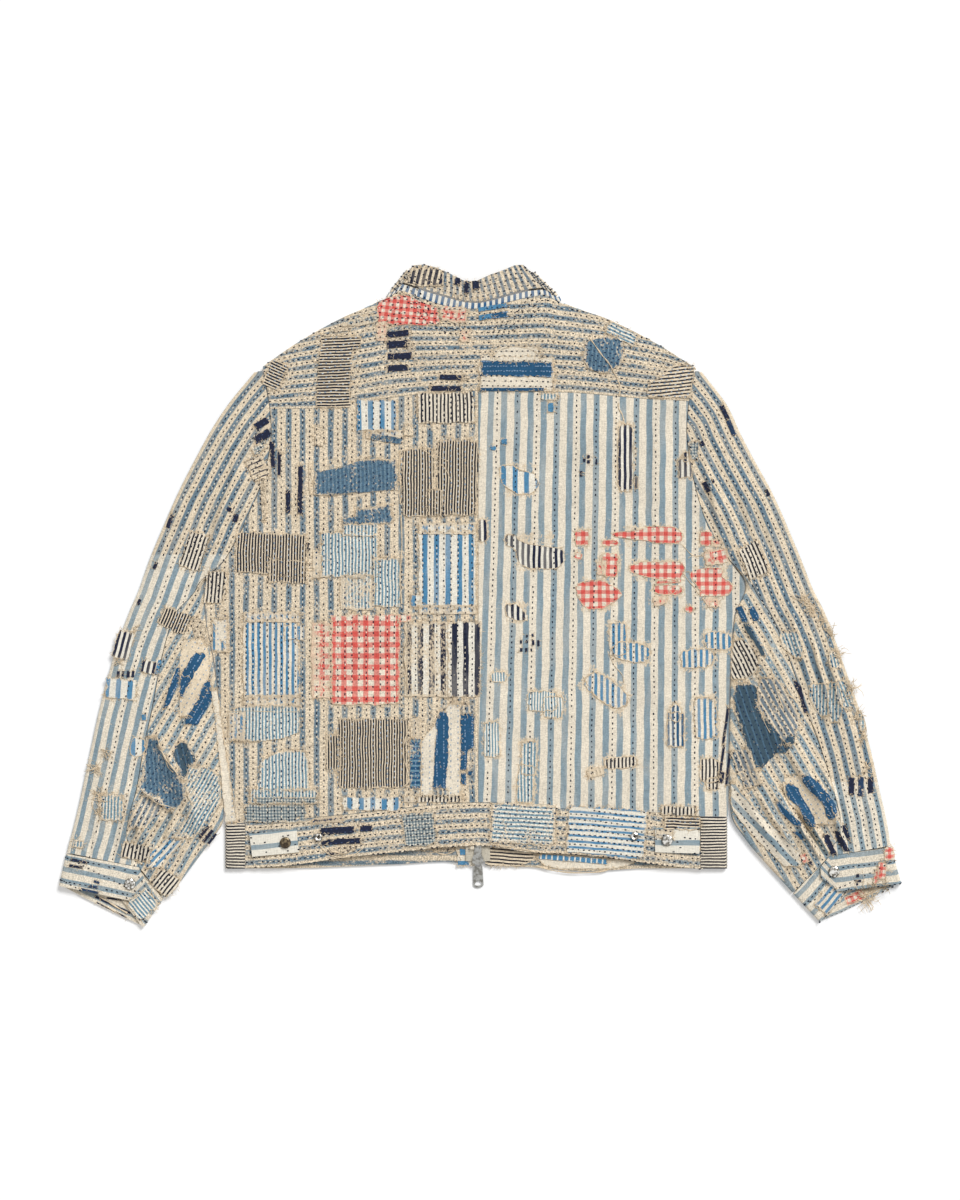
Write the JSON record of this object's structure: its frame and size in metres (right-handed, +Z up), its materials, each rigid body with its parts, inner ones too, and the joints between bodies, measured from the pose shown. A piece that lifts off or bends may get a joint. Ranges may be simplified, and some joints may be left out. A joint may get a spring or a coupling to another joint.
{
  "type": "jacket",
  "caption": "Patched boro-style short jacket laid flat face down: back panels, yoke, folded collar, two sleeves with snap cuffs, hem band with adjuster tabs, zip with a hinged pull tab.",
  "frame": {"origin": "on the surface the jacket lies on, under the middle of its outline", "axes": "+X across the jacket from cuff to cuff, +Y from the hem towards the collar, +Z up out of the surface, through the jacket's thickness"},
  "size_m": [0.9608, 0.7556, 0.014],
  "materials": {
    "worn_stripe_cloth": "worn cotton, stripes and running stitches",
    "clean_stripe_cloth": "brushed cotton, wide stripes",
    "collar_stripe_cloth": "blue and white striped cotton",
    "pinstripe_cloth": "fine black and cream pinstripe cotton",
    "denim_cloth": "indigo cotton",
    "light_stripe_cloth": "thin light stripes, cotton",
    "mid_stripe_cloth": "mid blue striped cotton",
    "deep_stripe_cloth": "deep blue bars on cream cotton",
    "navy_stripe_cloth": "navy striped cotton",
    "gingham_cloth": "small red and white check",
    "zip_tape_cloth": "woven tape",
    "zip_metal": "worn grey metal",
    "snap_steel": "polished steel",
    "snap_bronze": "darkened bronze"
  },
  "bodies": {
    "jacket": {"back_left": "worn_stripe_cloth", "back_right": "clean_stripe_cloth", "back_yoke": "worn_stripe_cloth", "front_left": "clean_stripe_cloth", "front_right": "clean_stripe_cloth", "sleeve_left_outer": "worn_stripe_cloth", "sleeve_left_inner": "worn_stripe_cloth", "sleeve_right_outer": "clean_stripe_cloth", "sleeve_right_inner": "clean_stripe_cloth", "cuff_left": "clean_stripe_cloth", "cuff_right": "clean_stripe_cloth", "collar_stand": "collar_stripe_cloth", "collar_leaf": "worn_stripe_cloth", "hem_band_back": "worn_stripe_cloth", "hem_band_front_left": "clean_stripe_cloth", "hem_band_front_right": "clean_stripe_cloth", "hem_side_left": "pinstripe_cloth", "hem_side_right": "pinstripe_cloth", "side_tab_left": "clean_stripe_cloth", "side_tab_right": "clean_stripe_cloth", "zip_tape_left": "zip_tape_cloth", "zip_tape_right": "zip_tape_cloth", "zip_slider": "zip_metal", "side_snap_left": "snap_bronze", "side_snap_right": "snap_steel", "cuff_snap_left": "snap_steel", "cuff_snap_right": "snap_steel", "ring_stud_left": "snap_steel", "ring_stud_right": "snap_steel", "patch_pinstripe_top": "pinstripe_cloth", "patch_denim_back": "denim_cloth", "patch_pinstripe_square": "pinstripe_cloth", "patch_pinstripe_side": "pinstripe_cloth", "patch_light_stripe": "light_stripe_cloth", "patch_blue_stripe": "mid_stripe_cloth", "patch_blue_side": "mid_stripe_cloth", "patch_gingham_back": "gingham_cloth", "patch_navy_stripe": "navy_stripe_cloth", "patch_fine_stripe": "pinstripe_cloth", "patch_blue_bars": "deep_stripe_cloth", "patch_light_side": "light_stripe_cloth", "patch_gingham_yoke": "gingham_cloth", "patch_bars_yoke": "deep_stripe_cloth", "patch_denim_yoke": "denim_cloth", "patch_pinstripe_yoke": "pinstripe_cloth", "patch_pinstripe_shoulder": "pinstripe_cloth", "patch_navy_band": "navy_stripe_cloth", "patch_check_band": "light_stripe_cloth", "patch_stripe_band": "light_stripe_cloth", "patch_blue_band": "mid_stripe_cloth", "patch_denim_left": "denim_cloth", "patch_bars_left": "deep_stripe_cloth", "patch_denim_right": "denim_cloth", "patch_pinstripe_right": "pinstripe_cloth"},
    "pull_tab": {"zip_pull_tab": "zip_metal"}
  },
  "joints": [
    {"name": "pull_tab_hinge", "type": "hinge", "parent": "jacket", "child": "pull_tab", "pos_m": [-0.0025, -0.3024, 0.00215], "axis": [1, 0, 0], "range_deg": [-5, 160]}
  ]
}
